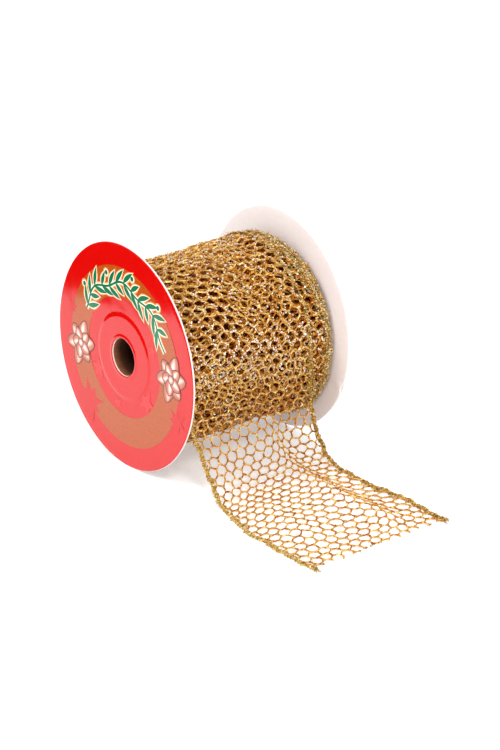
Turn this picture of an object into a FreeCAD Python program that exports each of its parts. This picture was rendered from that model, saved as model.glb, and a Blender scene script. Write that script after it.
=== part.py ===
"""Ribbon spool: two board flanges on a paper tube, wound with a wide gold net ribbon.

Frame: the origin is the middle of the spool on its own axis. +Y runs along the axis, from the
labelled front flange to the rear one, +Z is up, and the ribbon's loose end runs out towards +X.
The spool stands on the rims of its flanges, so the floor is FLANGE_RADIUS below the origin.
All lengths are in millimetres and all angles in degrees.
"""

import FreeCAD, Part

import math
import os

# Spool body
FLANGE_RADIUS = 40.0
INNER_WIDTH = 64.8  # between the two flange boards
BOARD_THICKNESS = 0.65
LABEL_THICKNESS = 0.15
LABEL_RADIUS = 39.8

# Paper tube, whose ends are opened out flat over the boards
BORE_RADIUS = 6.45
TUBE_WALL = 1.3
COLLAR_RADIUS = 14.5
COLLAR_THICKNESS = 0.35
LABEL_STEP = 0.9  # how far past the collar's edge the label takes to come down to the board

# Tape that holds the ribbon's inner end to the tube
TAPE_THICKNESS = 0.15
TAPE_HALF_WIDTH = 12.0
TAPE_START, TAPE_END = -40.0, 60.0  # angles round the tube, from +X towards +Z

# Ribbon on the roll: 21 turns, 3 yards with the loose end
RIBBON_WIDTH = 60.0
ROLL_MIDDLE_Y = -0.6
ROLL_TURNS = 21
ROLL_START_RADIUS = 8.7  # middle of the ribbon's thickness at the innermost end
ROLL_RADIUS = 32.3  # outer face of the outermost turn
NET_THICKNESS = 0.5
EDGE_WIDTH = 1.5  # the knitted gold cord along each edge of the net
EDGE_THICKNESS = 0.9

# Ribbon off the roll: pulled a little narrower and lying loose
TAIL_WIDTH = 57.8
TAIL_MIDDLE_Y = -2.0
TAIL_NET_THICKNESS = 0.6
TAIL_EDGE_THICKNESS = 1.4
TAIL_END_X = 101.4
ROLL_CLEARANCE = 0.35  # between the roll and the ribbon that leaves it
LEAVING_ANGLE = 6.0  # below +X, where the ribbon leaves the roll
STRAIGHT_DROP = 13.0  # straight stretch before the ribbon bends out to the floor
LIFT_GAP = 0.3  # each side of the line about which the loose end lifts

BOARD_OUTER_Y = INNER_WIDTH / 2 + BOARD_THICKNESS
COLLAR_OUTER_Y = BOARD_OUTER_Y + COLLAR_THICKNESS
TUBE_RADIUS = BORE_RADIUS + TUBE_WALL
FLOOR_Z = -FLANGE_RADIUS

FRONT, REAR = -1, 1
SPOOL_CENTRE = FreeCAD.Vector(0, 0, 0)
SPOOL_AXIS = FreeCAD.Vector(0, 1, 0)


def turned(outline):
    """A solid of revolution about the spool's axis, from a closed outline of (radius, y) points."""
    points = [FreeCAD.Vector(radius, y, 0) for radius, y in outline]
    face = Part.Face(Part.makePolygon(points + points[:1]))
    return face.revolve(SPOOL_CENTRE, SPOOL_AXIS, 360)


def side_face(edges):
    """A flat face in the plane y = 0, inside a closed loop of edges."""
    return Part.Face(Part.Wire(edges))


def strip_solid(face, y_low, y_high):
    """A face of the plane y = 0 drawn out along the spool's axis."""
    solid = face.extrude(FreeCAD.Vector(0, y_high - y_low, 0))
    solid.translate(FreeCAD.Vector(0, y_low, 0))
    return solid


def side_point(x, z):
    return FreeCAD.Vector(x, 0, z)


def around(centre, radius, angle):
    """The point at an angle from +X towards +Z on a circle in the plane y = 0."""
    turn = math.radians(angle)
    return side_point(centre[0] + radius * math.cos(turn), centre[1] + radius * math.sin(turn))


def arc(centre, radius, start, end):
    middle = (start + end) / 2
    points = [around(centre, radius, angle) for angle in (start, middle, end)]
    return Part.Arc(*points).toShape()


def line(start, end):
    return Part.LineSegment(start, end).toShape()


# Spool body


def flange(side):
    """A board disc whose hole fits round the tube."""
    inner, outer = side * INNER_WIDTH / 2, side * BOARD_OUTER_Y
    return turned(
        [(TUBE_RADIUS, inner), (FLANGE_RADIUS, inner), (FLANGE_RADIUS, outer), (TUBE_RADIUS, outer)]
    )


def label(side):
    """A paper disc glued over the board, raised in the middle where the tube's collar lies under it,
    and punched out together with the tube's bore."""
    low, high = BOARD_OUTER_Y, COLLAR_OUTER_Y
    step_end = COLLAR_RADIUS + LABEL_STEP
    under = [(BORE_RADIUS, high), (COLLAR_RADIUS, high), (step_end, low), (LABEL_RADIUS, low)]
    over = [(radius, y + LABEL_THICKNESS) for radius, y in reversed(under)]
    return turned([(radius, side * y) for radius, y in under + over])


def core_tube():
    """The paper tube, with both ends opened out into thin collars over the boards."""
    return turned(
        [
            (BORE_RADIUS, -COLLAR_OUTER_Y),
            (COLLAR_RADIUS, -COLLAR_OUTER_Y),
            (COLLAR_RADIUS, -BOARD_OUTER_Y),
            (TUBE_RADIUS, -BOARD_OUTER_Y),
            (TUBE_RADIUS, BOARD_OUTER_Y),
            (COLLAR_RADIUS, BOARD_OUTER_Y),
            (COLLAR_RADIUS, COLLAR_OUTER_Y),
            (BORE_RADIUS, COLLAR_OUTER_Y),
        ]
    )


def starter_tape():
    """A patch of tape bent round the tube, under the ribbon's first turn."""
    centre = (0, 0)
    outer = TUBE_RADIUS + TAPE_THICKNESS
    edges = [
        arc(centre, TUBE_RADIUS, TAPE_START, TAPE_END),
        line(around(centre, TUBE_RADIUS, TAPE_END), around(centre, outer, TAPE_END)),
        arc(centre, outer, TAPE_END, TAPE_START),
        line(around(centre, outer, TAPE_START), around(centre, TUBE_RADIUS, TAPE_START)),
    ]
    return strip_solid(side_face(edges), -TAPE_HALF_WIDTH, TAPE_HALF_WIDTH)


# Ribbon on the roll


def roll_pitch():
    """Radial distance from one turn to the next."""
    end_radius = ROLL_RADIUS - EDGE_THICKNESS / 2
    return (end_radius - ROLL_START_RADIUS) / (ROLL_TURNS - 0.25)


def half_turns():
    """(centre, radius, start angle, end angle) of each half turn, from the tube outwards.

    The half turns under the axis have their centre a quarter pitch to one side and those over it
    a quarter pitch to the other, so that each one meets the next in a smooth spiral.
    """
    pitch = roll_pitch()
    for count in range(2 * ROLL_TURNS):
        radius = ROLL_START_RADIUS + count * pitch / 2
        if count % 2 == 0:
            yield (-pitch / 4, 0), radius, 0, -180
        else:
            yield (pitch / 4, 0), radius, 180, 0


def rolled_face(thickness, turns):
    """The spiral cross-section of a strip this thick, along some of the half turns."""
    outer = [arc(centre, radius + thickness / 2, a, b) for centre, radius, a, b in turns]
    inner = [arc(centre, radius - thickness / 2, b, a) for centre, radius, a, b in reversed(turns)]
    (first_centre, first_radius, _, _), (last_centre, last_radius, _, _) = turns[0], turns[-1]
    last_x, first_x = last_centre[0] + last_radius, first_centre[0] + first_radius
    outer_end = line(side_point(last_x + thickness / 2, 0), side_point(last_x - thickness / 2, 0))
    inner_end = line(side_point(first_x - thickness / 2, 0), side_point(first_x + thickness / 2, 0))
    return side_face(outer + [outer_end] + inner + [inner_end])


def roll_net(turns):
    half = RIBBON_WIDTH / 2 - EDGE_WIDTH
    face = rolled_face(NET_THICKNESS, turns)
    return strip_solid(face, ROLL_MIDDLE_Y - half, ROLL_MIDDLE_Y + half)


def roll_edge(side):
    edge = ROLL_MIDDLE_Y + side * RIBBON_WIDTH / 2
    low, high = sorted((edge, edge - side * EDGE_WIDTH))
    return strip_solid(rolled_face(EDGE_THICKNESS, list(half_turns())), low, high)


# Ribbon off the roll


def drop_path():
    """The face of the ribbon that faces the roll: (start, arc centre, arc radius) of a straight
    stretch along the roll's tangent and the arc that brings it flat on the floor."""
    start = around((0, 0), ROLL_RADIUS + ROLL_CLEARANCE, -LEAVING_ANGLE)
    lean = math.radians(LEAVING_ANGLE)
    bend_start = start + side_point(-math.sin(lean), -math.cos(lean)) * STRAIGHT_DROP
    bend_radius = (bend_start.z - FLOOR_Z) / (1 + math.sin(lean))
    centre = (bend_start.x + bend_radius * math.cos(lean), FLOOR_Z + bend_radius)
    return start, centre, bend_radius


def drop_face(thickness):
    start, centre, radius = drop_path()
    inner_radius = radius - thickness
    bend_from, bend_to = 180 - LEAVING_ANGLE, 270
    lean = math.radians(LEAVING_ANGLE)
    inner_start = start + side_point(math.cos(lean), -math.sin(lean)) * thickness
    edges = [
        line(start, around(centre, radius, bend_from)),
        arc(centre, radius, bend_from, bend_to),
        line(around(centre, radius, bend_to), around(centre, inner_radius, bend_to)),
        arc(centre, inner_radius, bend_to, bend_from),
        line(around(centre, inner_radius, bend_from), inner_start),
        line(inner_start, start),
    ]
    return side_face(edges)


def end_face(thickness):
    """The stretch that lies on the floor, past the line about which it lifts."""
    start_x = drop_path()[1][0] + 2 * LIFT_GAP
    corners = [(start_x, 0), (TAIL_END_X, 0), (TAIL_END_X, thickness), (start_x, thickness)]
    points = [side_point(x, FLOOR_Z + height) for x, height in corners]
    return Part.Face(Part.makePolygon(points + points[:1]))


def tail_net(face):
    half = TAIL_WIDTH / 2 - EDGE_WIDTH
    return strip_solid(face(TAIL_NET_THICKNESS), TAIL_MIDDLE_Y - half, TAIL_MIDDLE_Y + half)


def tail_edge(face, side):
    edge = TAIL_MIDDLE_Y + side * TAIL_WIDTH / 2
    low, high = sorted((edge, edge - side * EDGE_WIDTH))
    return strip_solid(face(TAIL_EDGE_THICKNESS), low, high)


inner_turns, outer_turn = list(half_turns())[:-2], list(half_turns())[-2:]

PARTS = {
    "front_label": label(FRONT),
    "front_flange": flange(FRONT),
    "core_tube": core_tube(),
    "rear_flange": flange(REAR),
    "rear_label": label(REAR),
    "starter_tape": starter_tape(),
    "inner_turns": roll_net(inner_turns),
    "outer_turn": roll_net(outer_turn),
    "roll_edge_front": roll_edge(FRONT),
    "roll_edge_rear": roll_edge(REAR),
    "hanging_ribbon": tail_net(drop_face),
    "hanging_edge_front": tail_edge(drop_face, FRONT),
    "hanging_edge_rear": tail_edge(drop_face, REAR),
    "ribbon_end": tail_net(end_face),
    "end_edge_front": tail_edge(end_face, FRONT),
    "end_edge_rear": tail_edge(end_face, REAR),
}

os.makedirs("parts", exist_ok=True)
for name, shape in PARTS.items():
    shape.exportStep(f"parts/{name}.step")

roll_length = sum(math.pi * radius for _, radius, _, _ in half_turns())
_, bend_centre, bend_radius = drop_path()
bend_length = bend_radius * math.radians(90 + LEAVING_ANGLE)
tail_length = STRAIGHT_DROP + bend_length + TAIL_END_X - bend_centre[0]
print(f"ribbon on the roll {roll_length:.0f} mm, off it {tail_length:.0f} mm")
print(f"loose end lifts about x = {bend_centre[0] + LIFT_GAP:.3f}")
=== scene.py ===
"""Ribbon spool: printed label, board flanges and paper tube, wound with a wide gold net ribbon
whose loose end hangs off the roll and lies along the floor.

Shapes are worked out in millimetres in the frame's own axes and scaled to metres as each mesh is
made. Y runs along the spool's axis from the labelled flange to the rear one, Z is up, and the
loose end runs out towards +X.
"""

import math

import bpy
import numpy as np
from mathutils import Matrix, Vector


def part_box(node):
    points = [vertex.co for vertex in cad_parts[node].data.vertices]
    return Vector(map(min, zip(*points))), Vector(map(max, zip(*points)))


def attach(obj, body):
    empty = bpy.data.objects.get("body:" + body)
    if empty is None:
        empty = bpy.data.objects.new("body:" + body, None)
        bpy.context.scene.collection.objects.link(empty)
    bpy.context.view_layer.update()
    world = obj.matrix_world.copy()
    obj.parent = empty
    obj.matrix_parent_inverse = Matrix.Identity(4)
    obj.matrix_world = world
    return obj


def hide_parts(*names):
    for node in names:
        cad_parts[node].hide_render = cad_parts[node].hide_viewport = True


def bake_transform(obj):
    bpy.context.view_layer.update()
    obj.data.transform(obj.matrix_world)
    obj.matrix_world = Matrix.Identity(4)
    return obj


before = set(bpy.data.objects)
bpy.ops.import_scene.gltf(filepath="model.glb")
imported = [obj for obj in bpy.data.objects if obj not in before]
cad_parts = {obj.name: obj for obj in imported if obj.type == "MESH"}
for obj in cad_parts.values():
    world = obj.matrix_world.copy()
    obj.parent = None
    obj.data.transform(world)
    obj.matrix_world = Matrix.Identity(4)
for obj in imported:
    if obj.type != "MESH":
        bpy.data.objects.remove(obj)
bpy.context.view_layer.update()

MM = 0.001
TURN = 2 * math.pi


def box_mm(node):
    """The node's lowest and highest corners in millimetres."""
    low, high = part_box(node)
    return Vector(low) / MM, Vector(high) / MM


# Sizes that come from the frame, in millimetres
FLANGE_RADIUS = box_mm("front_flange")[1].z
FLOOR_Z = box_mm("front_flange")[0].z
FRONT_OUTER_Y, FRONT_INNER_Y = box_mm("front_flange")[0].y, box_mm("front_flange")[1].y
REAR_INNER_Y, REAR_OUTER_Y = box_mm("rear_flange")[0].y, box_mm("rear_flange")[1].y
LABEL_RADIUS = box_mm("front_label")[1].z
LABEL_TOP_Y = box_mm("front_label")[0].y
TUBE_END_Y = box_mm("core_tube")[1].y
ROLL_RADIUS = box_mm("roll_edge_front")[1].x
ROLL_FRONT_Y = box_mm("roll_edge_front")[0].y
ROLL_REAR_Y = box_mm("roll_edge_rear")[1].y
RIM_Y = (ROLL_REAR_Y + 2 * REAR_INNER_Y) / 3
TAIL_FRONT_Y = box_mm("hanging_edge_front")[0].y
TAIL_REAR_Y = box_mm("hanging_edge_rear")[1].y
TAIL_END_X = box_mm("ribbon_end")[1].x

# Sizes of the spool that a bounding box doesn't give
BORE_RADIUS = 6.45
TUBE_WALL = 1.3
BOARD_HOLE_RADIUS = 7.9
COLLAR_RADIUS = 14.5  # where the tube's end is opened out flat over the board
MOUTH_RADIUS = BORE_RADIUS + 0.8
MOUTH_RISE = 0.14  # how far the tube's wall stands proud of its collar round the hole
LABEL_PAPER = 0.15
LABEL_STEP = 1.0  # how far out the label slopes down from the collar to the board
LABEL_FLAT_Y = FRONT_OUTER_Y - LABEL_PAPER

# The net
NET_TURNS = 6  # the outer turns, modelled strand by strand
PLAIN_TURNS = 3  # the deepest of them, made of single strands
NET_CELL = 4.3  # the width of a cell
NET_ROW = 3.35  # the distance from one row of cells to the next


# Materials


class Nodes:
    """A new material's node tree, with short calls to add and join nodes."""

    def __init__(self, name):
        self.material = bpy.data.materials.new(name)
        self.material.use_nodes = True
        self.tree = self.material.node_tree
        self.shader = self.tree.nodes["Principled BSDF"]

    def add(self, kind, **values):
        node = self.tree.nodes.new("ShaderNode" + kind)
        for key, value in values.items():
            if hasattr(node, key):
                setattr(node, key, value)
            else:
                node.inputs[key.replace("_", " ")].default_value = value
        return node

    def join(self, source, target):
        self.tree.links.new(source, target)

    def noise(self, scale, detail=3.0, stretch=(1, 1, 1)):
        """Noise through the object's own space; the scale is in features per metre."""
        place = self.add("TexCoord")
        mapping = self.add("Mapping")
        mapping.inputs["Scale"].default_value = stretch
        texture = self.add("TexNoise")
        texture.inputs["Scale"].default_value = scale
        texture.inputs["Detail"].default_value = detail
        self.join(place.outputs["Object"], mapping.inputs["Vector"])
        self.join(mapping.outputs["Vector"], texture.inputs["Vector"])
        return texture.outputs["Fac"]

    def ramp(self, factor, *stops):
        """Colours at places from 0 to 1."""
        node = self.add("ValToRGB")
        while len(node.color_ramp.elements) < len(stops):
            node.color_ramp.elements.new(0.5)
        for element, (place, colour) in zip(node.color_ramp.elements, stops):
            element.position = place
            element.color = (*colour, 1)
        self.join(factor, node.inputs["Fac"])
        return node.outputs["Color"]

    def product(self, first, second):
        """Two colours multiplied. The second is a socket or a plain colour."""
        node = self.add("Mix", data_type="RGBA", blend_type="MULTIPLY")
        node.inputs[0].default_value = 1.0
        self.join(first, node.inputs[6])
        if isinstance(second, bpy.types.NodeSocket):
            self.join(second, node.inputs[7])
        else:
            node.inputs[7].default_value = (*second, 1)
        return node.outputs[2]

    def attribute(self, name):
        return self.add("Attribute", attribute_name=name)

    def relief(self, scale, detail, strength, depth):
        """A noise's bumps, with their depth in metres."""
        node = self.add("Bump", Strength=strength, Distance=depth)
        self.join(self.noise(scale, detail), node.inputs["Height"])
        self.join(node.outputs["Normal"], self.shader.inputs["Normal"])

    def colour(self, source):
        self.join(source, self.shader.inputs["Base Color"])

    def set(self, **values):
        for key, value in values.items():
            self.shader.inputs[key.replace("_", " ")].default_value = value


def yarn_material(name, grain, colours, tint, dark_fibre, rough, metal, relief, **finish):
    """Metallic yarn: foil strips among darker fibres, with the colour of each stretch taken from the
    mesh's shade through the given colours and multiplied by the tint. The brightest stretches are
    painted glints: near-white and less metallic, so that they look white from all sides."""
    n = Nodes(name)
    strand = n.attribute("shade").outputs["Fac"]
    fibre = n.noise(*grain)
    speck = n.ramp(fibre, dark_fibre, (0.60, (1.0, 1.0, 1.0)))
    n.colour(n.product(n.product(n.ramp(strand, *colours), tint), speck))
    roughness = n.add("MapRange", From_Min=0.35, From_Max=0.65, To_Min=rough[0], To_Max=rough[1])
    n.join(fibre, roughness.inputs["Value"])
    n.join(roughness.outputs["Result"], n.shader.inputs["Roughness"])
    # Painted glints: the near-white top of the shade is made less metallic, so that it shows white from all
    # sides.
    metallic = n.add("MapRange", From_Min=0.85, From_Max=1.0, To_Min=metal, To_Max=0.35)
    n.join(strand, metallic.inputs["Value"])
    n.join(metallic.outputs["Result"], n.shader.inputs["Metallic"])
    n.set(**finish)
    n.relief(*relief)
    return n.material


def gold_net_material(name, tint):
    """The net's yarn, brown to ochre and different from strand to strand."""
    # The near-white top stop is the colour of the painted glints.
    colours = ((0.0, (0.32, 0.055, 0.002)), (0.35, (0.57, 0.215, 0.020)), (0.7, (0.78, 0.415, 0.080)),
               (0.88, (0.90, 0.64, 0.25)), (1.0, (1.0, 0.95, 0.86)))
    return yarn_material(name, (2600, 2), colours, tint, dark_fibre=(0.30, (0.58, 0.52, 0.44)),
                         rough=(0.25, 0.6), metal=0.6, relief=(5200, 2, 0.35, 0.00008),
                         Specular_IOR_Level=0.2)


def gold_edge_material():
    """The knitted edge cords: greener gold, with dark gaps between the plies."""
    # The near-white top stop is the colour of the painted glints.
    colours = ((0.0, (0.24, 0.115, 0.012)), (0.5, (0.60, 0.335, 0.05)), (0.85, (0.88, 0.66, 0.24)),
               (1.0, (1.0, 0.93, 0.76)))
    return yarn_material("gold_edge", (2400, 3), colours, (1, 1, 1), dark_fibre=(0.32, (0.42, 0.38, 0.26)),
                         rough=(0.18, 0.55), metal=0.65, relief=(4600, 2, 0.4, 0.0001),
                         Coat_Weight=0.25, Coat_Roughness=0.1)


def mottled(name, grain, *stops, relief=None, **finish):
    """A material whose colour wanders through the stops with its grain, over a fine relief."""
    n = Nodes(name)
    n.colour(n.ramp(n.noise(*grain), *stops))
    n.set(**finish)
    if relief:
        n.relief(*relief)
    return n.material


def painted_shade_packed_net_material():
    """What shows of the turns deep in the roll: the yarn painted dark brown as shade, flecked with gold."""
    return mottled("packed_net_painted_shade", (900, 4), (0.42, (0.13, 0.014, 0.001)), (0.56, (0.26, 0.045, 0.003)),
                   (0.72, (0.50, 0.19, 0.03)), relief=(1400, 3, 0.8, 0.0006),
                   Roughness=0.6, Metallic=0.3, Specular_IOR_Level=0.1)


def label_material():
    """Glossy red paper."""
    return mottled("label_red", (900, 3), (0.35, (0.55, 0.0008, 0.0001)), (0.65, (0.60, 0.0016, 0.0003)),
                   relief=(60, 2, 0.16, 0.0008), Roughness=0.1, Specular_IOR_Level=0.5)


def copper_ink_material():
    """Glossy copper-coloured ink with a fine speckle."""
    return mottled("copper_ink", (2200, 2), (0.35, (0.36, 0.056, 0.003)), (0.65, (0.47, 0.090, 0.009)),
                   Roughness=0.1)


def art_material(name):
    """Glossy ink whose colour is painted on the mesh's points."""
    n = Nodes(name)
    grain = n.ramp(n.noise(2500, 2), (0.3, (0.92, 0.92, 0.92)), (0.7, (1, 1, 1)))
    n.colour(n.product(n.attribute("paint").outputs["Color"], grain))
    n.set(Roughness=0.16)
    return n.material


def board_material():
    """White-lined board: a warm white face with faint fibres."""
    return mottled("board", (420, 5, (1, 1, 2.5)), (0.3, (0.805, 0.725, 0.705)), (0.7, (0.83, 0.76, 0.745)),
                   relief=(1500, 4, 0.05, 0.00006), Roughness=0.62, Specular_IOR_Level=0.3)


def tube_material():
    """Kraft paper inside the tube, with painted shade: light brown near its front mouth, darkening to
    nearly black deeper in.
    """
    n = Nodes("kraft_tube")
    fibres = n.ramp(n.noise(700, 5, (1, 0.35, 1)), (0.3, (0.70, 0.70, 0.70)), (0.7, (1, 1, 1)))
    place, split = n.add("TexCoord"), n.add("SeparateXYZ")
    n.join(place.outputs["Object"], split.inputs["Vector"])
    depth = n.add("MapRange", From_Min=-TUBE_END_Y * MM, From_Max=(9 - TUBE_END_Y) * MM)
    n.join(split.outputs["Y"], depth.inputs["Value"])
    # Painted shade: the paper's colour darkens with depth into the tube.
    paper = n.ramp(depth.outputs["Result"], (0.0, (0.30, 0.12, 0.05)), (0.35, (0.075, 0.022, 0.007)),
                   (0.9, (0.008, 0.001, 0.0005)))
    n.colour(n.product(paper, fibres))
    n.set(Roughness=0.85, Specular_IOR_Level=0.2)
    n.relief(1600, 4, 0.35, 0.0003)
    return n.material


def lip_material():
    """The cream lining of the tube's opened-out end."""
    return mottled("tube_lip", (1500, 4), (0.35, (0.70, 0.60, 0.50)), (0.65, (0.84, 0.78, 0.71)),
                   relief=(2600, 3, 0.3, 0.0002), Roughness=0.7)


def plain_label_material():
    """Matt white paper of the rear label."""
    return mottled("plain_label", (500, 5), (0.3, (0.72, 0.69, 0.64)), (0.7, (0.79, 0.76, 0.72)),
                   relief=(80, 2, 0.1, 0.0008), Roughness=0.55, Specular_IOR_Level=0.35)


def tape_material():
    """The buff paper tape that holds the ribbon's inner end."""
    return mottled("paper_tape", (600, 4), (0.3, (0.66, 0.55, 0.34)), (0.7, (0.75, 0.65, 0.44)),
                   Roughness=0.45)


def floor_material():
    """A white studio floor, a little brighter than the light on it makes it."""
    return mottled("floor", (6, 2), (0.3, (0.90, 0.91, 0.93)), (0.7, (0.92, 0.93, 0.95)), Roughness=0.8,
                   Specular_IOR_Level=0.2, Emission_Color=(1, 1, 1, 1), Emission_Strength=0.32)


def dark_card_material():
    """Matt black card."""
    return mottled("dark_card", (9, 2), (0.3, (0.002, 0.002, 0.002)), (0.7, (0.004, 0.004, 0.004)),
                   Roughness=1.0, Specular_IOR_Level=0.0)


GOLD_NET = gold_net_material("gold_net", (1.0, 1.0, 1.0))
# Painted light: a paler, yellower copy of the same yarn for the loose ribbon, off the roll where less
# orange light bounces onto it.
LOOSE_NET_PAINTED_LIGHT = gold_net_material("loose_net_painted_light", (1.03, 1.07, 1.14))
GOLD_EDGE = gold_edge_material()


# Meshes


def mesh_object(name, points, faces, material, smooth=False):
    """An object from points in millimetres."""
    mesh = bpy.data.meshes.new(name)
    mesh.from_pydata((np.asarray(points, float) * MM).tolist(), [], faces)
    mesh.validate()
    mesh.materials.append(material)
    if smooth:
        mesh.shade_smooth()
    else:
        mesh.shade_flat()
    made = bpy.data.objects.new(name, mesh)
    bpy.context.scene.collection.objects.link(made)
    return made


def ring_mesh(name, loop, material):
    """A smooth closed ring from its outline at each angle: an array of (outline, angles, 3)."""
    count, around, _ = loop.shape
    at = np.arange(count * around).reshape(count, around)
    after = np.roll(at, -1, axis=0)
    quads = np.stack([at, after, np.roll(after, -1, axis=1), np.roll(at, -1, axis=1)], -1)
    return mesh_object(name, loop.reshape(-1, 3), quads.reshape(-1, 4).tolist(), material, smooth=True)


def unit(vectors):
    """The vectors at a length of 1."""
    return vectors / np.maximum(np.linalg.norm(vectors, axis=-1, keepdims=True), 1e-9)


def line_frames(lines, normals):
    """The side and up directions at each point of many lines at once."""
    along = unit(np.gradient(lines, axis=1))
    side = unit(np.cross(along, normals))
    return side, np.cross(side, along)


class Strands:
    """Many yarns collected into one mesh of closed tubes."""

    def __init__(self):
        self.points, self.faces, self.shades, self.count = [], [], [], 0

    def add(self, lines, normals, radii, shade, sides, flatness=1.0, twist=0.0):
        """Lines is (how many, points each, 3). Radii, shade and twist may differ from point to
        point. A flat yarn's section is flatness times as thick as wide."""
        how_many, each, _ = lines.shape
        side, up = line_frames(lines, normals)
        turn = np.broadcast_to(twist, (how_many, each))[..., None]
        wide = side * np.cos(turn) + up * np.sin(turn)
        thick = up * np.cos(turn) - side * np.sin(turn)
        angles = (np.arange(sides) + 0.5) / sides * TURN
        radii = np.broadcast_to(radii, (how_many, each))[..., None, None]
        ring = lines[:, :, None] + radii * (
            np.cos(angles)[:, None] * wide[:, :, None]
            + flatness * np.sin(angles)[:, None] * thick[:, :, None]
        )
        first = self.count + np.arange(how_many)[:, None, None] * each * sides
        at = first + np.arange(each - 1)[None, :, None] * sides
        here, after = np.arange(sides), (np.arange(sides) + 1) % sides
        quads = np.stack([at + here, at + after, at + after + sides, at + here + sides], -1)
        starts = (first[:, 0] + here[::-1]).tolist()
        ends = (first[:, 0] + (each - 1) * sides + here).tolist()
        self.faces += quads.reshape(-1, 4).tolist() + starts + ends
        self.points.append(ring.reshape(-1, 3))
        self.shades.append(np.repeat(np.broadcast_to(shade, (how_many, each)), sides))
        self.count += how_many * each * sides

    def build(self, name, material):
        """The mesh, with what would sink into the floor lying on it."""
        points = np.concatenate(self.points)
        points[:, 2] = np.maximum(points[:, 2], FLOOR_Z + 0.02)
        made = mesh_object(name, points, self.faces, material)
        shade = made.data.attributes.new("shade", "FLOAT", "POINT")
        shade.data.foreach_set("value", np.concatenate(self.shades).astype(np.float32))
        return made


def smooth_noise(places, cycles, seed):
    """A gentle random wave along one coordinate, about -1 to 1."""
    draw = np.random.default_rng(seed)
    total = np.zeros_like(places, float)
    for cycle in cycles:
        total += np.sin(places * cycle * draw.uniform(0.8, 1.2) + draw.uniform(0, TURN))
    return total / len(cycles)


def ease(value, low, high):
    """0 up to the low value, 1 from the high one on, and a smooth step between."""
    share = np.clip((value - low) / (high - low), 0, 1)
    return share * share * (3 - 2 * share)


# The net


class Net:
    """Six-sided cells, pointed towards the ribbon's ends, as a list of edges.

    Points are (across, along). The across edges of the sheet are at 0 and the width, and the
    rows repeat along the length.
    """

    def __init__(self, width, length, cell, row, jitter, draw):
        columns = 2 * round(width / cell)
        rows = int(length / row)
        rise = 0.36 * row
        column, line = np.meshgrid(np.arange(columns + 1), np.arange(rows + 1), indexing="ij")
        is_up = (column + line) % 2 == 0
        across = column * width / columns + draw.normal(0, jitter, column.shape)
        along = line * row + np.where(is_up, rise, -rise) / 2 + draw.normal(0, jitter, column.shape)
        across[0], across[-1] = 0, width
        number = np.arange(across.size).reshape(across.shape)
        self.points = np.stack([across.ravel(), along.ravel()], -1)
        level = np.stack([number[:-1].ravel(), number[1:].ravel()], -1)
        self.falling = is_up[:-1].ravel()
        upright = is_up[:, :-1]
        sides = np.stack([number[:, :-1][upright], number[:, 1:][upright]], -1)
        self.level, self.sides = self.points[level], self.points[sides]


def sampled(pairs, count):
    """Points spaced along straight edges: (edges, count, 2)."""
    share = np.linspace(0, 1, count)[None, :, None]
    return pairs[:, :1] * (1 - share) + pairs[:, 1:] * share


def knit(strands, edges, place, radius, draw, shade, points, plies):
    """Lays yarn along net edges: foil and fibre plies twisted round each other, thicker where the
    edges meet. Place turns (across, along) into a point in space and the sheet's normal there."""
    flat = sampled(edges, points)
    lines, normals = place(flat[..., 0], flat[..., 1])
    side, up = line_frames(lines, normals)
    share = np.linspace(0, 1, points)
    swell = 1 + 0.6 * np.abs(2 * share - 1) ** 4
    count = len(edges)
    phase = draw.uniform(0, TURN, (count, 1))
    for ply in range(plies):
        angle = phase + ply * TURN / plies + share * draw.uniform(2.5, 4.5, (count, 1))
        offset = 0.42 * radius * (plies > 1)
        wound = lines + offset * (side * np.cos(angle)[..., None] + up * np.sin(angle)[..., None])
        width = radius * (0.74 if plies > 1 else 1.0) * swell
        width = width * draw.uniform(0.85, 1.15, (count, 1))
        tone = shade + draw.normal(0, 0.17, (count, 1)) + draw.normal(0, 0.24, (count, points))
        tone = np.clip(tone + (0.20 if ply == 0 else -0.20), 0, 0.88)
        strands.add(wound, normals, width, tone, 4, 0.5, angle * 1.7)


def fuzz(strands, roots, normals, length, thickness, draw, shade):
    """Loose fibre ends that stand out of the yarn."""
    count = len(roots)
    lean = unit(normals * 0.8 + draw.normal(0, 0.8, (count, 3)))
    bend = unit(draw.normal(0, 1, (count, 3)))
    share = np.linspace(0, 1, 4)[None, :, None]
    reach = (length * draw.uniform(0.4, 1.0, (count, 1)))[..., None]
    lines = roots[:, None] + reach * (share * lean[:, None] + 0.35 * share**2 * bend[:, None])
    radii = thickness * np.linspace(1, 0.35, 4)[None]
    across = np.broadcast_to(bend[:, None], lines.shape)
    strands.add(lines, across, radii, np.clip(shade + draw.normal(0, 0.25, (count, 1)), 0, 0.85), 3)


def glints(strands, roots, normals, size, draw):
    """Short stretches of foil in the yarn's near-white colour: painted glints, bright whatever the light.
    """
    count = len(roots)
    way = unit(np.cross(normals, draw.normal(0, 1, (count, 3))) + 0.5 * draw.normal(0, 1, (count, 3)))
    half = (size * draw.uniform(0.6, 1.4, (count, 1)))[..., None] * np.array([-1.0, 1.0])[None, :, None]
    lines = roots[:, None] + half * way[:, None]
    facing = unit(normals + draw.normal(0, 0.5, (count, 3)))
    width = size * draw.uniform(0.5, 1.0, (count, 1)) * np.ones((1, 2))
    # Shade 1.0 gives the near-white end of the yarn colours: a painted glint.
    strands.add(lines, np.broadcast_to(facing[:, None], lines.shape), width, 1.0, 3, 0.3)


# The roll


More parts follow.
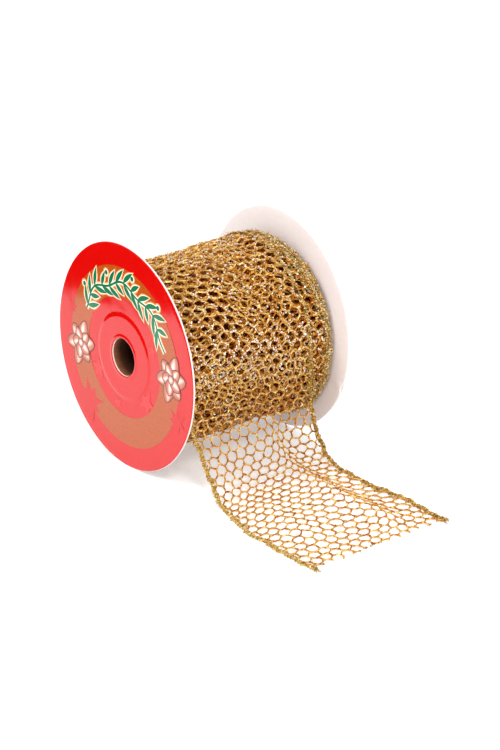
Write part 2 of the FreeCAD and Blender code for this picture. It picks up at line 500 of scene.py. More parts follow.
def roll_radius(y, angle):
    """The roll's outer radius: it sags under its own weight, most at the front, bulges near its
    rear end, where it leans to the right, and is a little lumpy."""
    sag = 1.15 - 0.038 * y + 1.4 * ease(y, 25.5, RIM_Y)
    bulge = 0.55 * np.exp(-(((y - 22.5) / 4.5) ** 2)) - 0.4 * np.exp((y - RIM_Y) / 0.9)
    lean = 0.9 * ease(y, 18, 29) * np.maximum(np.cos(angle + 0.3), 0)
    lumps = (
        0.20 * np.sin(3 * angle + 0.16 * y)
        + 0.16 * np.sin(5 * angle - 0.31 * y + 1)
        + 0.14 * np.sin(0.62 * y + 2 * angle)
    )
    return ROLL_RADIUS - 0.3 + bulge + lean - sag * np.sin(angle) + lumps


def outer_edge(angle):
    """Where the rear edge of the outermost turn runs: drawn in round most of the roll, and out
    towards its full width underneath, where it leaves."""
    return TAIL_REAR_Y - 5.6 * (1 - ease(-np.sin(angle), 0.0, 0.6)) + 0.25 * np.sin(4 * angle)


def on_roll(y, angle, lift):
    """Points and outward normals at a height over the roll's surface."""
    radius = roll_radius(y, angle) + lift
    outward = np.stack([np.cos(angle), np.zeros_like(angle), np.sin(angle)], -1)
    points = radius[..., None] * outward
    points[..., 1] = y
    return points, outward


def scattered(net, count, draw):
    """Random places on and close beside the net's strands."""
    edges = np.concatenate([net.level, net.sides])
    picks = edges[draw.integers(0, len(edges), count)]
    share = draw.random((count, 1))
    return picks[:, 0] * share + picks[:, 1] * (1 - share) + draw.normal(0, 0.2, (count, 2))


def painted_shade_under_tail(edges):
    """How far edges of a turn's net lie under the loose ribbon, from 0 to 1, where their yarn is darkened
    as painted shade.
    """
    angle = -edges[:, :1, 1] / ROLL_RADIUS
    return ease(-np.sin(angle), 0.0, 0.3) * ease(np.cos(angle), 0.0, 0.3)


def roll_layer(name, lift, front, rear, slant, thick, tone, seed, plies, flecks, stagger):
    """One turn of net round the roll. Front is a place along the axis and rear a function of the
    angle. Stagger shifts its cells, so that they lie between those of the next turn, and they stray
    from there, least at the front. Its yarn is darker under the loose ribbon, as painted shade. Its
    near-white strands of painted glints go to the glint strands, where they are given."""
    draw = np.random.default_rng(seed)
    width = rear(0.0) - front
    around = TURN * ROLL_RADIUS
    row = around / (2 * round(around / NET_ROW / 2))
    net = Net(width, around, NET_CELL, row, 0.14, draw)
    waves = draw.uniform(0, TURN, 6)

    def place(across, along):
        angle = -along / ROLL_RADIUS
        drift = 0.4 + 0.8 * ease(across, 6, 34) * ease(np.sin(angle), -0.75, 0.1)
        share = across / width
        inside = np.sqrt(np.clip(np.sin(np.pi * share), 0, 1))
        between = stagger * (0.75 + 0.1 * ease(-np.sin(angle), -0.05, 0.4))
        sway = 0.6 * np.sin(2 * angle + 0.11 * across + waves[0]) + 0.4 * np.sin(5 * angle + waves[1])
        y = front + share * (rear(angle) - front) + inside * (drift * sway + 0.7 * between)
        angle = angle - (slant * across + between) / ROLL_RADIUS
        angle = angle + drift / ROLL_RADIUS * (
            0.7 * np.sin(0.16 * across + 3 * angle + waves[2]) + 0.3 * np.sin(0.4 * across + waves[3])
        )
        wander = 0.22 * np.sin(0.8 * across + 7 * angle + waves[4])
        wander = wander + 0.18 * np.sin(1.7 * across - 9 * angle + waves[5])
        return on_roll(y, angle, lift + wander)

    strands = Strands()
    for edges, radius, shift in ((net.level[~net.falling], 1.15 * thick, 0.04),
                                 (net.level[net.falling], thick, -0.06), (net.sides, thick, -0.08)):
        # Painted shade: strands under the loose ribbon are given darker yarn.
        knit(strands, edges, place, radius, draw, tone + shift - 0.22 * painted_shade_under_tail(edges), 4, plies)
    fine, coarse = 500, 1200
    spots = scattered(net, fine + coarse, draw)
    roots, outward = place(spots[:, 0], spots[:, 1])
    fuzz(strands, roots[:fine], outward[:fine], 1.3, 0.08, draw, 0.7)
    fuzz(strands, roots[fine:], outward[fine:] * 0.3, 1.8, 0.15, draw, 0.6)
    if flecks is not None:
        # Painted glints: near-white strands over the two outer turns, fewest on top and under the loose
        # ribbon.
        spots = scattered(net, 7000, draw)
        roots, outward = place(spots[:, 0], spots[:, 1])
        low = -outward[:, 2]
        shown = draw.random(len(roots)) < 0.3 + 0.7 * ease(low, -0.5, -0.05) - 0.75 * ease(low, 0.0, 0.3)
        roots, outward = roots[shown], outward[shown]
        glints(flecks, roots + outward * 1.2 * thick, outward, 0.29, draw)
    return strands.build(name, GOLD_NET)


def coil(strands, edge, lifts, start_angle, wave, seed, plies, turns=1.02):
    """An edge cord wound round the roll, a little over one turn or as many as given, wandering
    sideways and in and out. Edge gives its place along the axis at each angle."""
    count = int(turns * 210)
    angle = start_angle - np.linspace(0, turns * TURN, count)
    lift = np.linspace(*lifts, count) + 0.25 * smooth_noise(angle, (5, 11, 23), seed)
    where = edge(angle) + wave * smooth_noise(angle, (3, 7, 13), seed + 1)
    lines, outward = on_roll(where, angle, lift)
    cord(strands, lines, outward, 0.62, np.random.default_rng(seed), plies, 0.58)


def cord(strands, line, normals, radius, draw, plies, shade):
    """A knitted edge: plies wound loosely round a line, with loops and fibre ends standing out."""
    lines, normals = line[None], normals[None]
    side, up = line_frames(lines, normals)
    steps = np.linalg.norm(np.diff(line, axis=0), axis=1)
    travel = np.concatenate([[0], np.cumsum(steps)])
    lumps = 1 + 0.3 * smooth_noise(travel, (1.1, 2.3, 4.1), int(draw.integers(1 << 30)))
    for ply in range(plies):
        angle = travel * TURN / 2.9 + ply * TURN / plies
        angle = angle + 1.2 * smooth_noise(travel, (0.9, 2.1), int(draw.integers(1 << 30)))
        away = 0.72 + 0.35 * smooth_noise(travel, (1.7, 3.1), int(draw.integers(1 << 30)))
        shift = side * np.cos(angle)[None, :, None] + 0.8 * up * np.sin(angle)[None, :, None]
        wound = lines + (radius * lumps * away)[None, :, None] * shift
        swell = 0.44 + 0.12 * smooth_noise(travel, (2.9, 5.3), int(draw.integers(1 << 30)))
        tone = shade + draw.normal(0, 0.15) + draw.normal(0, 0.2, (1, len(line)))
        tone = np.clip(tone, 0.05, 0.92)
        strands.add(wound, normals, (radius * swell)[None], tone, 4, 0.6, angle[None] * 1.3)
    if plies == 1:
        return
    # Painted glints along the cord.
    picks = draw.integers(0, len(line), int(travel[-1] * 1.4))
    spots = line[picks] + radius * draw.uniform(-0.9, 0.9, (len(picks), 1)) * side[0][picks]
    glints(strands, spots + normals[0][picks] * 0.75 * radius, normals[0][picks], 0.17, draw)
    count = int(travel[-1] * 1.1)
    picks = draw.integers(0, len(line), count)
    outward = side[0][picks] * draw.choice([-1, 1], (count, 1)) + 0.4 * up[0][picks]
    fuzz(strands, line[picks] + 0.5 * radius * outward, outward, 2.4 * radius, 0.11, draw, 0.6)


def make_roll():
    """The wound ribbon: packed turns inside, net layers over them and the edge cords at both ends."""
    packed = packed_turns()
    layers, flecks = [], Strands()
    for turn in range(NET_TURNS):
        depth = (NET_TURNS - 1 - turn) * 0.45
        layers.append(roll_layer(
            f"net_turn_{turn + 1}", lift=-0.4 - depth, front=ROLL_FRONT_Y + 0.8,
            rear=outer_edge if depth == 0 else lambda angle: RIM_Y - 0.5,
            slant=0.15 - 0.006 * depth, thick=0.44 if turn >= PLAIN_TURNS else 0.40,
            # Painted shade: the deeper a turn lies, the darker its yarn.
            tone=0.74 - 0.3 * depth**1.6, seed=21 + turn, plies=2 if turn >= PLAIN_TURNS else 1,
            flecks=flecks if turn >= NET_TURNS - 2 else None, stagger=0.95 * ((2 * turn + 1) % 3),
        ))
    # The painted glints of the two outer turns, as one mesh.
    foil = flecks.build("foil_flecks", GOLD_NET)
    front, rear = Strands(), Strands()
    for turn in range(4):
        coil(front, lambda angle: ROLL_FRONT_Y + 0.9 + 0.25 * turn, (-0.4 - 0.9 * turn, -1.2 - 0.9 * turn),
             start_angle=0.4 * turn, wave=0.35, seed=40 + turn, plies=3)
    coil(rear, outer_edge, (0.2, 0.2), start_angle=0, wave=0.3, seed=49, plies=4)
    for turn in range(11):
        away = 7.0 * abs(math.sin(1.7 * turn + 0.6)) ** 1.5
        coil(rear, lambda angle: RIM_Y - 0.3 - away * (0.22 + 0.78 * ease(np.sin(angle), 0.1, 1.0)),
             (0.1 - 0.25 * turn, -0.15 - 0.25 * turn),
             start_angle=0.4 * turn, wave=0.6, seed=50 + turn, plies=4)
    for strands, y, seed in ((front, ROLL_FRONT_Y + 0.7, 60), (rear, RIM_Y - 0.8, 70)):
        coil(strands, lambda angle: y, (-3.6, -22.6), start_angle=0, wave=0.3, seed=seed, plies=1, turns=17)
    edges = [front.build("roll_edge_cord_front", GOLD_EDGE), rear.build("roll_edge_cord_rear", GOLD_EDGE)]
    for piece in (packed, foil, *layers, *edges):
        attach(piece, "spool")
    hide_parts("inner_turns")
    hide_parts("outer_turn")
    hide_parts("roll_edge_front")
    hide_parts("roll_edge_rear")


def packed_turns():
    """The turns under those modelled strand by strand, as one ring with a knotted surface, painted dark as
    shade.
    """
    lift, hole = -4.0, 9.0
    columns, around = 60, 200
    ys = np.linspace(ROLL_FRONT_Y + 1.4, RIM_Y - 1.4, columns)
    angles = np.linspace(0, TURN, around, endpoint=False)
    y, angle = np.meshgrid(ys, angles, indexing="ij")
    bumps = 0.3 * np.sin(y * TURN / 4.2 + 9 * angle) * np.sin(angle * 29 + y * 0.7)
    outer, _ = on_roll(y, -angle, lift + bumps)
    inner = np.stack([hole * np.cos(-angle), y, hole * np.sin(-angle)], -1)
    loop = np.concatenate([outer, inner[::-1]])
    return ring_mesh("packed_turns", loop, painted_shade_packed_net_material())


# The ribbon off the roll

TAIL_LENGTH = 98.0
RIBBON_REST = 0.55  # the middle of the net over the floor or the roll
LAP_LENGTH = math.radians(8) * ROLL_RADIUS  # how much of the loose ribbon still laps the roll
# Where the ribbon's front and rear edges run, from the roll down to the floor and out along it
FRONT_ROUTE = [
    (32.5, -30.4, -3.4), (32.2, -29.4, -12.0), (32.9, -28.4, -20.8), (35.9, -27.6, -27.0),
    (39.6, -27.4, -33.4), (45.2, -27.9, -38.4), (51.5, -29.8, -40.0), (60.0, -32.0, -40.0),
    (71.5, -33.9, -40.0), (84.0, -34.0, -40.0), (TAIL_END_X + 1.6, -33.4, -40.0),
]
REAR_ROUTE = [
    (33.0, 21.6, -4.0), (31.0, 24.0, -13.0), (28.2, 26.7, -21.8), (31.2, 26.7, -31.4),
    (37.0, 26.0, -37.0), (45.7, 24.9, -40.0), (56.0, 24.2, -40.0), (66.0, 24.7, -40.0),
    (76.0, 25.7, -40.0), (85.0, 26.2, -40.0), (TAIL_END_X + 0.4, 24.4, -40.0),
]


class Route:
    """A smooth curve through a few points, as a function of the distance along it."""

    def __init__(self, points, length):
        self.points = np.array(points, float)
        steps = np.linalg.norm(np.diff(self.points, axis=0), axis=1)
        self.at = np.concatenate([[0], np.cumsum(steps)]) * length / steps.sum()
        self.slopes = np.gradient(self.points, self.at, axis=0)

    def __call__(self, along):
        k = np.clip(np.searchsorted(self.at, along) - 1, 0, len(self.at) - 2)
        span = self.at[k + 1] - self.at[k]
        t = ((along - self.at[k]) / span)[..., None]
        span = span[..., None]
        return (
            (2 * t**3 - 3 * t**2 + 1) * self.points[k] + (t**3 - 2 * t**2 + t) * span * self.slopes[k]
            + (3 * t**2 - 2 * t**3) * self.points[k + 1] + (t**3 - t**2) * span * self.slopes[k + 1]
        )


FRONT_EDGE, REAR_EDGE = Route(FRONT_ROUTE, TAIL_LENGTH), Route(REAR_ROUTE, TAIL_LENGTH)


def tail_surface(share, along):
    """Where the loose ribbon lies. Share runs from 0 at its front edge to 1 at its rear one, and
    along from its place of leaving the roll, with what still laps the roll below 0."""
    fold_line = 0.635 + 0.10 * ease(along, 28, 50)
    folded = ease(along, 14, 30) * (1 - ease(along, 80, TAIL_LENGTH))
    across = share - fold_line
    squeeze = -0.055 * np.tanh(across / 0.10) * np.exp(-((across / 0.22) ** 2))
    moved = share + squeeze * folded
    free = np.clip(along, 0, None)
    front, rear = FRONT_EDGE(free), REAR_EDGE(free)
    point = front + moved[..., None] * (rear - front)
    x, y, z = point[..., 0], point[..., 1], point[..., 2]
    fold = np.exp(-((across / 0.10) ** 2)) * folded
    ripple = np.exp(-(((share - 0.28) / 0.09) ** 2)) * ease(along, 44, 58) * (1 - ease(along, 76, 92))
    dimples = (1 + np.sin(along / 4.1 + 9 * share)) * ease(along, 40, 50)
    z = z + RIBBON_REST + 1.7 * fold + 0.8 * ripple
    z = z + 0.15 * dimples
    lap = np.minimum(along, 0) / ROLL_RADIUS
    angle = np.arctan2(z, x) - lap
    least = np.maximum(roll_radius(y, angle), roll_radius(y, angle + math.pi)) + 0.45
    clear_of_roll = x > 45
    radius = np.maximum(np.hypot(x, z), np.where(clear_of_roll, 0, least))
    radius = np.where(along < 0, least, radius)
    return np.stack([radius * np.cos(angle), y, radius * np.sin(angle)], -1)


def tail_place(share, along):
    """A point of the loose ribbon and the normal of the sheet there."""
    small = 0.05
    point = tail_surface(share, along)
    ahead = tail_surface(share, along + small) - point
    over = tail_surface(share + small / 60, along) - point
    return point, -unit(np.cross(ahead, over))


def tail_skew(share, along):
    """How far the rows of cells lag behind towards the rear edge."""
    pull = ease(along, 25, 55)
    return pull * (6.5 * share + 2.5 * np.sin(math.pi * np.clip(share, 0, 1)) * (1 - ease(along, 70, 92)))


def loose_cord(name, share, draw):
    """A knitted edge of the loose ribbon, frayed at its cut end."""
    along = np.linspace(-LAP_LENGTH, TAIL_LENGTH - 1.2 * share, 480)
    wander = 0.012 * smooth_noise(along, (0.25, 0.6, 1.1), 80 + int(share > 0.5))
    line, normals = tail_place(share + wander, along)
    strands = Strands()
    cord(strands, line + normals * 0.2, normals, 0.8, draw, 5, 0.60)
    frays = 22
    ends = np.repeat(line[-1:], frays, axis=0) + draw.normal(0, 0.4, (frays, 3))
    outward = np.array([1.0, 0.4 * (2 * share - 1), 0.25]) + draw.normal(0, 0.3, (frays, 3))
    fuzz(strands, ends, outward, 3.2, 0.16, draw, 0.6)
    return strands.build(name, GOLD_EDGE)


def make_tail():
    """The loose ribbon, cut off past its end, with its two edge cords. The net is made longer by the
    slack, because its rows lag behind towards the rear edge."""
    draw = np.random.default_rng(31)
    width = TAIL_REAR_Y - TAIL_FRONT_Y
    inset, slack = 1.0, 14.0
    net = Net(width - 2 * inset, LAP_LENGTH + TAIL_LENGTH + slack, NET_CELL, NET_ROW, 0.13, draw)
    strands = Strands()

    def to_sheet(points):
        share = (points[..., 0] + inset) / width
        along = points[..., 1] - LAP_LENGTH
        return np.stack([share, along - tail_skew(share, along)], -1)

    def cut(edges):
        """Drops what is past the cut end and shortens the edges that cross it."""
        edges = to_sheet(edges)
        end = TAIL_LENGTH - 0.6 - 1.2 * edges[:, :, 0].mean(1) + draw.uniform(-0.5, 0.9, len(edges))
        order = np.argsort(edges[..., 1], axis=1)[..., None]
        edges = np.take_along_axis(edges, order, axis=1)
        near, far = edges[:, 0], edges[:, 1]
        keep = near[:, 1] < end - 0.3
        near, far, end = near[keep], far[keep], end[keep]
        part = np.clip((end - near[:, 1]) / np.maximum(far[:, 1] - near[:, 1], 1e-6), 0, 1)[:, None]
        return np.stack([near, near + (far - near) * part], 1)

    for edges, radius, tone in ((net.level[~net.falling], 0.43, 0.70), (net.level[net.falling], 0.38, 0.64),
                                (net.sides, 0.38, 0.61)):
        edges = cut(edges)
        # Painted light: where the loose ribbon still laps the roll and just leaves it, its yarn is made
        # lighter.
        painted_light_near_roll = 1 - ease(edges[:, :1, 1], -3.0, 12.0)
        knit(strands, edges, tail_place, radius, draw, tone + 0.14 * painted_light_near_roll, 5, 2)
    ends = cut(net.sides)[:, 1]
    picks = ends[draw.choice(len(ends), 320, replace=False)]
    roots, normals = tail_place(picks[:, 0], picks[:, 1])
    fuzz(strands, roots, normals, 0.9, 0.06, draw, 0.6)
    # Painted glints near the loose ribbon's cut end.
    picks = ends[draw.integers(0, len(ends), 260)]
    roots, normals = tail_place(picks[:, 0], picks[:, 1])
    glints(strands, roots + normals * 0.25, normals, 0.26, draw)
    tail = strands.build("loose_ribbon", LOOSE_NET_PAINTED_LIGHT)
    cords = [loose_cord("loose_edge_cord_front", inset / width, draw),
             loose_cord("loose_edge_cord_rear", 1 - inset / width, draw)]
    for piece in (tail, *cords):
        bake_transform(piece)
    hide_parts("hanging_ribbon", "ribbon_end")
    for piece, side in zip(cords, ("front", "rear")):
        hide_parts(f"hanging_edge_{side}", f"end_edge_{side}")


# The spool


def turned(name, outline, material, around, wave=None):
    """A closed ring from an outline of (radius, y) points about the spool's axis. A wave turns
    (radius, y, angle) into the radius and y that the surface has there."""
    angle = np.linspace(0, TURN, around, endpoint=False)[None]
    radius = np.array([point[0] for point in outline], float)[:, None]
    y = np.array([point[1] for point in outline], float)[:, None]
    radius, y, angle = np.broadcast_arrays(radius, y, angle)
    if wave:
        radius, y = wave(radius, y, angle)
    loop = np.stack([radius * np.cos(angle), y, radius * np.sin(angle)], -1)
    return ring_mesh(name, loop, material)


def rounded(outline, corner):
    """The outline with each corner rounded."""
    points = [Vector(point) for point in outline]
    out, steps = [], 3
    for before, here, after in zip(points[-1:] + points[:-1], points, points[1:] + points[:1]):
        reach = min(corner, (before - here).length * 0.45, (after - here).length * 0.45)
        start = here + (before - here).normalized() * reach
        end = here + (after - here).normalized() * reach
        for step in range(steps + 1):
            share = step / steps
            out.append(start.lerp(here, share).lerp(here.lerp(end, share), share))
    return [(point.x, point.y) for point in out]


def subdivided(outline, longest):
    """The outline with points added so that no stretch is longer than this."""
    out = []
    for start, end in zip(outline, outline[1:] + outline[:1]):
        count = max(1, math.ceil(math.dist(start, end) / longest))
        out += [(start[0] + (end[0] - start[0]) * k / count, start[1] + (end[1] - start[1]) * k / count)
                for k in range(count)]
    return out


NOTCH_ANGLE = math.radians(-23.5)


def make_flanges():
    """Thin white boards, with rims a little worn and one rim knocked in at the rear."""
    board = board_material()
    for name, inner, outer, notch in (("front", FRONT_INNER_Y, FRONT_OUTER_Y, 0.0),
                                      ("rear", REAR_INNER_Y, REAR_OUTER_Y, 0.9)):
        outline = [(BOARD_HOLE_RADIUS, inner), (FLANGE_RADIUS, inner), (FLANGE_RADIUS, outer),
                   (BOARD_HOLE_RADIUS, outer)]
        outline = subdivided(rounded(outline, 0.18), 2.0)
        middle = (inner + outer) / 2

        def wave(radius, y, angle, notch=notch, middle=middle):
            rim = ease(radius, 34, FLANGE_RADIUS)
            knock = notch * np.exp(-(((angle - (TURN + NOTCH_ANGLE)) / 0.045) ** 2)) * rim
            worn = 0.06 * rim * smooth_noise(angle, (9, 21, 40), 5)
            worn = worn * np.clip(np.minimum(angle, TURN - angle) / 0.05, 0, 1)
            return radius + worn - 0.7 * knock, y + 0.5 * knock * np.sign(y - middle + 0.2)

        flange = turned(f"{name}_board", outline, board, 360, wave)
        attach(flange, "spool")
        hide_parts(f"{name}_flange")


def make_tube():
    """The paper tube, with a spiral seam inside and its ends opened out over the boards."""
    lip = BORE_RADIUS + 0.25
    bore = [(BORE_RADIUS, y) for y in np.linspace(TUBE_END_Y - 0.6, -TUBE_END_Y + 0.6, 120)]
    collar_y = TUBE_END_Y - MOUTH_RISE
    end = [(BORE_RADIUS + 0.12, TUBE_END_Y - 0.35), (lip, TUBE_END_Y + 0.05), (lip + 0.3, TUBE_END_Y),
           (MOUTH_RADIUS, TUBE_END_Y), (MOUTH_RADIUS + 1, collar_y), (COLLAR_RADIUS, collar_y),
           (COLLAR_RADIUS, REAR_OUTER_Y), (BORE_RADIUS + TUBE_WALL, REAR_OUTER_Y)]
    outline = [(radius, -y) for radius, y in end] + end[::-1]

    def seam(radius, y, angle):
        inside = (radius < BORE_RADIUS + 0.01) * ease(TUBE_END_Y - np.abs(y), 1.0, 3.0)
        place = (angle / TURN + y / 28.0) % 1.0
        return radius + inside * 0.22 * (ease(place, 0.0, 0.035) * (1 - ease(place, 0.035, 0.5))), y

    tube = turned("paper_tube", outline + bore, tube_material(), 144, seam)
    tube.data.materials.append(lip_material())
    for face in tube.data.polygons:
        if abs(face.center.y) > (TUBE_END_Y - 0.3) * MM:
            face.material_index = 1
    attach(tube, "spool")
    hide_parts("core_tube")


def label_outline(side, radius_in):
    """The label's section: over the tube's collar in the middle, then down to the board."""
    rim, flat = abs(LABEL_TOP_Y), abs(LABEL_FLAT_Y)
    top = rim - MOUTH_RISE
    step_end = COLLAR_RADIUS + LABEL_STEP
    edge = LABEL_RADIUS + 0.12

    def slope(start, run, high, low, count):
        """Points down an easy slope."""
        return [(start + share * run, high - ease(share, 0, 1) * (high - low))
                for share in np.linspace(0, 1, count)]

    face = [(radius_in, rim - 0.12), (radius_in + 0.2, rim - 0.02)]
    face += slope(MOUTH_RADIUS, 1.0, rim, top, 7)
    face += [(radius, top) for radius in np.linspace(MOUTH_RADIUS + 1.8, COLLAR_RADIUS - 0.9, 5)]
    face += slope(COLLAR_RADIUS - 0.3, LABEL_STEP + 0.6, top, flat, 9)
    face += [(radius, flat) for radius in np.linspace(step_end + 0.8, LABEL_RADIUS - 0.3, 20)]
    face += [(edge - 0.05, flat - 0.03), (edge, flat - LABEL_PAPER + 0.03)]
    back = [(edge, flat - LABEL_PAPER + 0.01), (step_end, flat - LABEL_PAPER + 0.01),
            (COLLAR_RADIUS, top - LABEL_PAPER), (MOUTH_RADIUS + 1, top - LABEL_PAPER),
            (MOUTH_RADIUS, rim - LABEL_PAPER), (radius_in, rim - LABEL_PAPER)]
    return [(radius, side * y) for radius, y in face + back]


def make_labels():
    """The red label with slight waves in its paper, and the plain one at the rear."""
    def gentle(radius, y, angle):
        lift = 0.030 * np.sin(3 * angle + radius * 0.21) + 0.02 * np.sin(5 * angle - radius * 0.4)
        fade = ease(radius, 16, 20) * (1 - ease(radius, 36, 39))
        return radius, y + lift * fade * np.sign(-y)

    front = turned("front_label_paper", label_outline(-1, BORE_RADIUS + 0.2), label_material(), 360, gentle)
    rear = turned("rear_label_paper", label_outline(1, BORE_RADIUS + 0.5), plain_label_material(), 256)
    for piece, slot, node in ((front, "printed_label", "front_label"), (rear, "plain_label", "rear_label")):
        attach(piece, "spool")
        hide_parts(node)


# Printed art on the front label, in (x, z) millimetres seen from the front

ART_STEP = 0.02  # how far each layer of ink lies in front of the last


def plate(name, points, faces, depth, material):
    """A thin closed plate from flat faces, with the same faces behind them and a rim between."""
    points = np.asarray(points, float)
    count = len(points)
    steps = {(face[k - 1], face[k]) for face in faces for k in range(len(face))}
    rim = [(b, a, a + count, b + count) for a, b in sorted(steps) if (b, a) not in steps]
    behind = [tuple(corner + count for corner in face[::-1]) for face in faces]
    both = np.concatenate([points, points + (0, depth, 0)])
    return mesh_object(name, both, list(faces) + behind + rim, material)


class Art:
    """Flat printed shapes, each drawn a little in front of the last, with a colour at each point."""

    def __init__(self, layer):
        self.points, self.faces, self.paint, self.layer = [], [], [], layer

    def height(self):
        return LABEL_FLAT_Y - 0.055 - self.layer * ART_STEP

    def fan(self, centre, outline, inner, outer):
        """A filled shape round a centre, shading from one colour to another at its outline."""
        first = len(self.points)
        self.points.append((centre[0], self.height(), centre[1]))
        self.points += [(x, self.height(), z) for x, z in outline]
        self.paint += [inner] + [outer] * len(outline)
        count = len(outline)
        self.faces += [(first, first + 1 + k, first + 1 + (k + 1) % count) for k in range(count)]

    def strip(self, line, width, colour):
        """A brush stroke along a line."""
        way = unit(np.gradient(line, axis=0))
        off = np.stack([-way[:, 1], way[:, 0]], -1) * width / 2
        first = len(self.points)
        for left, right in zip(line + off, line - off):
            self.points += [(left[0], self.height(), left[1]), (right[0], self.height(), right[1])]
        self.paint += [colour] * 2 * len(line)
        self.faces += [(first + 2 * k, first + 2 * k + 1, first + 2 * k + 3, first + 2 * k + 2)
                       for k in range(len(line) - 1)]

    def build(self, name, material):
        piece = plate(name, self.points, self.faces, ART_STEP / 2, material)
        paint = piece.data.attributes.new("paint", "FLOAT_COLOR", "POINT")
        colours = np.array([(*colour, 1.0) for colour in self.paint * 2], np.float32)
        paint.data.foreach_set("color", colours.ravel())
        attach(piece, "spool")
        return piece


def polar(radius, degrees):
    """The (x, z) of a place round the label's middle."""
    turn = math.radians(degrees)
    return radius * math.cos(turn), radius * math.sin(turn)


def outline_round(centre, radii, spin=0):
    """Points round a centre at even angles, one at each radius."""
    places = [polar(radius, spin + k * 360 / len(radii)) for k, radius in enumerate(radii)]
    return [(centre[0] + x, centre[1] + z) for x, z in places]


def make_ring():
    """The copper-coloured band round the label."""
    around = 240
    angle = np.linspace(0, TURN, around, endpoint=False)
    y = LABEL_FLAT_Y - 0.05
    radii = np.linspace(21.3, 32.0, 4)
    loop = [np.stack([r * np.cos(angle), np.full(around, y), r * np.sin(angle)], -1) for r in radii]
    points = np.concatenate(loop)
    faces = []
    for start in range(0, (len(radii) - 1) * around, around):
        for here in range(around):
            after = (here + 1) % around
            faces.append((start + here, start + after, start + around + after, start + around + here))
    ring = plate("label_ring", points, faces, 0.03, copper_ink_material())
    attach(ring, "spool")


RED = (0.585, 0.0013, 0.0002)
FAINT_RED = (0.70, 0.016, 0.012)
GREEN = (0.0, 0.16, 0.055)
CREAM = (0.92, 0.86, 0.72)
PEACH = (0.86, 0.34, 0.13)


def make_bursts():
    """Bursts of the label's red over the ring, with uneven spikes, and faint stars inside it."""
    bursts = Art(1)
    for centre, reach, inner, spikes, spin in (
        ((-21.5, -22.5), 8.2, 4.0, 8, 12), ((30.5, -13.5), 5.2, 2.4, 7, 30),
        ((-31.0, 9.5), 3.0, 1.5, 6, 10),
    ):
        radii = ([reach, inner, 0.78 * reach, inner] * spikes)[:2 * spikes]
        bursts.fan(centre, outline_round(centre, radii, spin), RED, RED)
    bursts.build("label_bursts", art_material("label_ink"))
    stars = Art(1)
    for centre, reach, spin in (((-15.4, -8.6), 4.4, 20), ((13.2, -12.5), 4.8, -8),
                                ((-4.0, -18.0), 2.6, 40), ((17.0, 7.5), 2.8, 12)):
        stars.fan(centre, outline_round(centre, [reach, 0.42 * reach] * 5, spin), FAINT_RED, FAINT_RED)
    stars.build("label_stars", art_material("faint_ink"))


def blade(base, way, length, half, bend=0.0):
    """A leaf or petal from its base along an angle in degrees, with a half width at each of its
    steps: the points along its spine, and its outline."""
    share = np.linspace(0, 1, len(half))[:, None]
    turn = math.radians(way)
    ahead = np.array([math.cos(turn), math.sin(turn)])
    aside = np.array([-math.sin(turn), math.cos(turn)])
    spine = np.array(base) + share * length * ahead + share**2 * length * bend * aside
    left = [tuple(point + h * aside) for point, h in zip(spine, half)]
    right = [tuple(point - h * aside) for point, h in zip(spine, half)]
    return spine, left + right[-2:0:-1]


def leaf(base, way, length, width, bend):
    """The middle and outline of a pointed leaf."""
    share = np.linspace(0, 1, 9)
    half = width / 2 * np.sin(math.pi * share) ** 0.8 * (1 - 0.35 * share)
    spine, outline = blade(base, way, length, half, bend)
    return tuple(spine[4]), outline


def petal(centre, way, reach, width):
    """The middle and outline of a petal, widest towards its tip."""
    share = np.linspace(0, 1, 13)
    half = width / 2 * np.sin(math.pi * share**0.75) ** 0.6
    spine, outline = blade(centre, way, reach, half)
    return tuple(spine[7]), outline


def make_vine():
    """A leafy garland along the top of the ring, printed green with a cream edge."""
    start, end, middle_radius = 152.0, 20.0, 25.8
    degrees = np.linspace(start, end, 120)
    radius = middle_radius + np.sin(np.radians(degrees) * 9)
    stem = np.array([polar(r, d) for r, d in zip(radius, degrees)])
    leaves, berries = [], []
    for number in range(12):
        x, z = stem[3 + number * 9]
        ahead = math.degrees(math.atan2(z, x)) - 90
        for side in (-1, 1):
            length = 7.4 if (number + side) % 4 else 5.8
            leaves.append(leaf((x, z), ahead + side * 50, length, 2.2, -0.14 * side))
        if number % 3 == 1:
            away = math.radians(ahead + 90)
            berries.append((x + 4.6 * math.cos(away), z + 4.6 * math.sin(away)))
    for layer, grow, colour, name in ((2, 1.7, PEACH, "garland_glow"), (3, 0.8, CREAM, "garland_edge"),
                                      (4, 0.0, GREEN, "garland_print")):
        art = Art(layer)
        art.strip(stem, 0.8 + grow, colour)
        for centre, outline in leaves:
            art.layer += 0.01
            art.fan(centre, grown(centre, outline, grow / 2), colour, colour)
        for centre in berries:
            berry = outline_round(centre, [0.9] * 12)
            art.fan(centre, grown(centre, berry, grow / 2), colour, colour)
        art.build(name, art_material(name + "_ink"))


def grown(centre, outline, by):
    """The outline moved out from its centre by a distance."""
    out = []
    for x, z in outline:
        dx, dz = x - centre[0], z - centre[1]
        far = math.hypot(dx, dz) or 1.0
        out.append((x + dx / far * by, z + dz / far * by))
    return out


SATIN_LIGHT, SATIN_MID, SATIN_DARK = (1.0, 0.90, 0.82), (0.74, 0.27, 0.17), (0.42, 0.11, 0.065)
OUTLINE = (0.07, 0.014, 0.009)


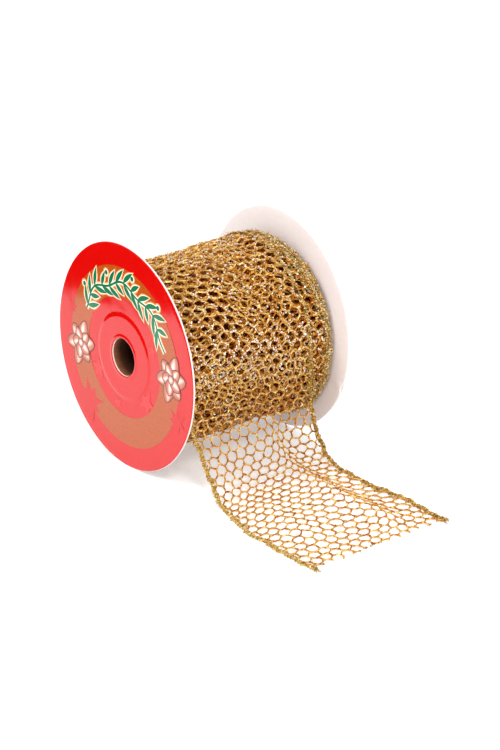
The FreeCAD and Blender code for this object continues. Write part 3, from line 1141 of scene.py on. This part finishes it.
def make_flowers():
    """Two satin flowers printed on the ring, left and right."""
    for name, centre in (("left", (-26.3, -2.6)), ("right", (27.6, 0.4))):
        art = Art(2)
        tiers = ((6, 8.4, 5.6, 10), (5, 5.6, 4.4, 40))
        for tier, (count, reach, width, spin) in enumerate(tiers):
            art.layer = 2 + 3 * tier
            for k in range(count):
                way = spin + k * 360 / count
                length = reach * (1.0 + 0.12 * math.sin(2.1 * k + tier))
                middle, outline = petal(centre, way, length, width)
                art.layer += 0.06
                art.fan(middle, grown(middle, outline, 0.28), OUTLINE, OUTLINE)
                art.layer += 0.06
                art.fan(middle, outline, SATIN_MID, SATIN_DARK)
                art.layer += 0.06
                gleam, shine = petal(centre, way + 5, length * 0.94, width * 0.52)
                art.fan(gleam, shine, SATIN_LIGHT, SATIN_MID)
        art.layer += 1
        core = outline_round(centre, [1.5] * 12)
        art.fan(centre, grown(centre, core, 0.25), OUTLINE, OUTLINE)
        art.layer += 0.5
        art.fan(centre, core, SATIN_LIGHT, SATIN_DARK)
        art.build(f"flower_{name}", art_material(f"flower_{name}_ink"))


# Surroundings


def add_camera():
    """Looks down on the spool from the right of its labelled end."""
    azimuth, elevation, distance = math.radians(52.69), math.radians(21.69), 0.8
    target = Vector((0.01362, 0.01015, -0.01264))
    back = Vector((math.sin(azimuth) * math.cos(elevation), -math.cos(azimuth) * math.cos(elevation),
                   math.sin(elevation)))
    data = bpy.data.cameras.new("camera")
    data.lens, data.sensor_width = 110.59, 36
    data.clip_start, data.clip_end = 0.01, 100
    camera = bpy.data.objects.new("camera", data)
    camera.location = target + back * distance
    camera.rotation_euler = (-back).to_track_quat("-Z", "Y").to_euler()
    bpy.context.scene.collection.objects.link(camera)
    bpy.context.scene.camera = camera


def add_area(name, place, size, power):
    """A square lamp that faces the spool."""
    data = bpy.data.lights.new(name, "AREA")
    data.energy, data.size = power, size
    light = bpy.data.objects.new(name, data)
    light.location = place
    light.rotation_euler = (-Vector(place)).to_track_quat("-Z", "Y").to_euler()
    bpy.context.scene.collection.objects.link(light)


def flat_panel(name, corners, height, material):
    """A level sheet of the surroundings, which isn't part of the object."""
    panel = mesh_object(name, [(x, y, height) for x, y in corners], [(0, 1, 2, 3)], material)
    return panel


def add_surroundings():
    """A white floor under even white light, with a dark card on it, seen only in reflections."""
    reach = 3000
    corners = [(-reach, -reach), (reach, -reach), (reach, reach), (-reach, reach)]
    flat_panel("floor", corners, FLOOR_Z, floor_material())
    away, edge = Vector((-0.35, -0.94)), Vector((0.94, -0.35))
    near, far, half = 161, 1500, 1500
    corners = [away * near - edge * half, away * near + edge * half, away * far + edge * half,
               away * far - edge * half]
    card = flat_panel("dark_card", corners, FLOOR_Z + 0.5, dark_card_material())
    card.visible_camera = card.visible_diffuse = card.visible_shadow = False
    world = bpy.data.worlds.new("studio")
    world.use_nodes = True
    background = world.node_tree.nodes["Background"]
    background.inputs["Color"].default_value = (1, 1, 1, 1)
    background.inputs["Strength"].default_value = 0.95
    bpy.context.scene.world = world
    add_area("key", (0.75, -0.35, 0.75), 0.25, 4.5)
    add_area("side", (-0.1, -0.7, 0.7), 0.3, 3)


bpy.context.scene.view_settings.view_transform = "Standard"
add_camera()
add_surroundings()
make_roll()
make_tail()
make_flanges()
make_tube()
make_labels()
make_ring()
make_bursts()
make_vine()
make_flowers()
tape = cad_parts["starter_tape"]
tape.data.materials.clear()
tape.data.materials.append(tape_material())
